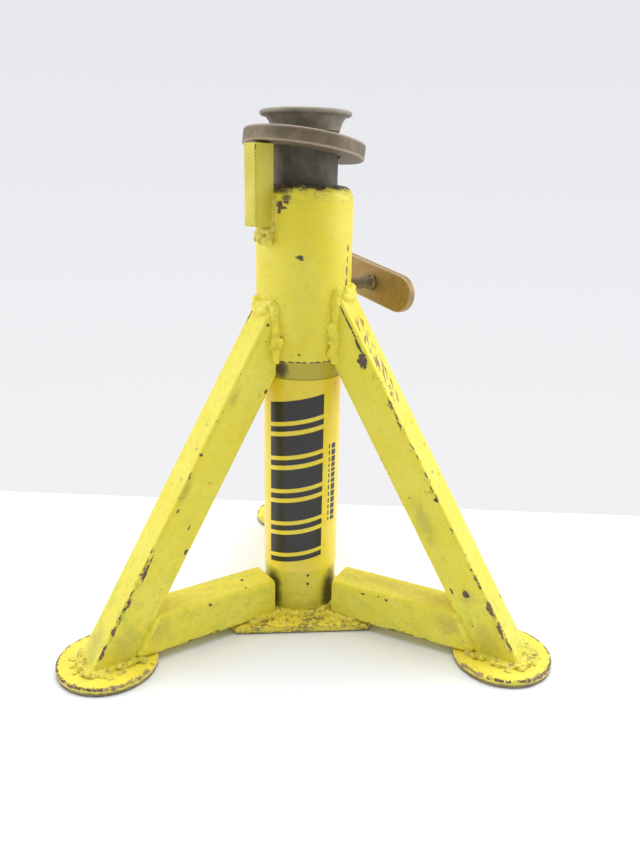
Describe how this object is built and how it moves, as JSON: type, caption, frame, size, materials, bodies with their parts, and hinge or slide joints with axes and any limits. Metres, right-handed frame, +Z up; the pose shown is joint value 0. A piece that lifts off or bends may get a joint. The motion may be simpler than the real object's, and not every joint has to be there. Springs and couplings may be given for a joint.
{
  "type": "pipe jack stand",
  "caption": "Tripod pipe jack stand: fixed square-tube legs, a telescoping post with a flared head, a tilting lock ring and a paddle clamp screw.",
  "frame": {"origin": "on the floor at the middle of the base plate, on the axis of the post", "axes": "+Z up along the post; the front is -Y, with one leg at the rear along +Y and the other two to the front left and front right"},
  "size_m": [0.3813, 0.3435, 0.4026],
  "materials": {
    "yellow_paint": "lemon yellow gloss paint, scuffed and grimy, chipped to dark steel along edges and over lumpy welds",
    "pad_paint": "brighter yellow paint with rims chipped to rusty brown steel",
    "label_vinyl": "satin yellow vinyl wrap printed with plain dark bars and chevrons",
    "bare_steel": "weathered brown-grey bare steel with a bright worn edge",
    "post_steel": "dark satin bare pipe with fine lengthwise marks",
    "brassy_plate": "yellow-passivated zinc plate, dulled brown with pale worn edges",
    "rod_steel": "dull grey-brown threaded rod"
  },
  "bodies": {
    "frame": {"base_plate": "yellow_paint", "base_weld": "yellow_paint", "leg_left": "yellow_paint", "strut_left": "yellow_paint", "foot_pad_left": "pad_paint", "leg_top_weld_left": "yellow_paint", "foot_weld_left": "yellow_paint", "strut_weld_left_a": "yellow_paint", "strut_weld_left_b": "yellow_paint", "leg_right": "yellow_paint", "strut_right": "yellow_paint", "foot_pad_right": "pad_paint", "leg_top_weld_right": "yellow_paint", "foot_weld_right": "yellow_paint", "strut_weld_right_a": "yellow_paint", "strut_weld_right_b": "yellow_paint", "leg_rear": "yellow_paint", "strut_rear": "yellow_paint", "foot_pad_rear": "pad_paint", "leg_top_weld_rear": "yellow_paint", "foot_weld_rear": "yellow_paint", "strut_weld_rear_a": "yellow_paint", "strut_weld_rear_b": "yellow_paint", "center_pipe": "yellow_paint", "wrap_label": "label_vinyl", "outer_sleeve": "yellow_paint", "sleeve_top_weld": "yellow_paint", "ring_rest_block": "yellow_paint", "ring_rest_weld": "yellow_paint"},
    "post": {"inner_post": "post_steel"},
    "head": {"post_head": "bare_steel"},
    "ring": {"lock_ring": "bare_steel"},
    "clamp_rod": {"clamp_screw": "rod_steel"},
    "clamp_lever": {"clamp_handle": "brassy_plate", "clamp_handle_weld": "rod_steel"}
  },
  "joints": [
    {"name": "post_slide", "type": "slide", "parent": "frame", "child": "post", "axis": [0, 0, 1], "range_m": [0, 0.23]},
    {"name": "post_swivel", "type": "hinge", "parent": "post", "child": "head", "pos_m": [0, 0, 0.395], "axis": [0, 0, 1], "continuous": true},
    {"name": "ring_tilt", "type": "hinge", "parent": "frame", "child": "ring", "pos_m": [-0.02715, -0.02046, 0.3791], "axis": [0.6018, -0.7986, 0], "range_deg": [0, 8.85]},
    {"name": "clamp_travel", "type": "slide", "parent": "frame", "child": "clamp_rod", "axis": [0.7986, 0.6018, 0], "range_m": [0, 0.002]},
    {"name": "clamp_turn", "type": "hinge", "parent": "clamp_rod", "child": "clamp_lever", "pos_m": [0.05862, 0.04417, 0.276], "axis": [0.7986, 0.6018, 0], "range_deg": [0, 450]}
  ],
  "couplings": [
    {"joint": "clamp_travel", "follows": "clamp_turn", "m_per_rad": 0.00025266}
  ]
}
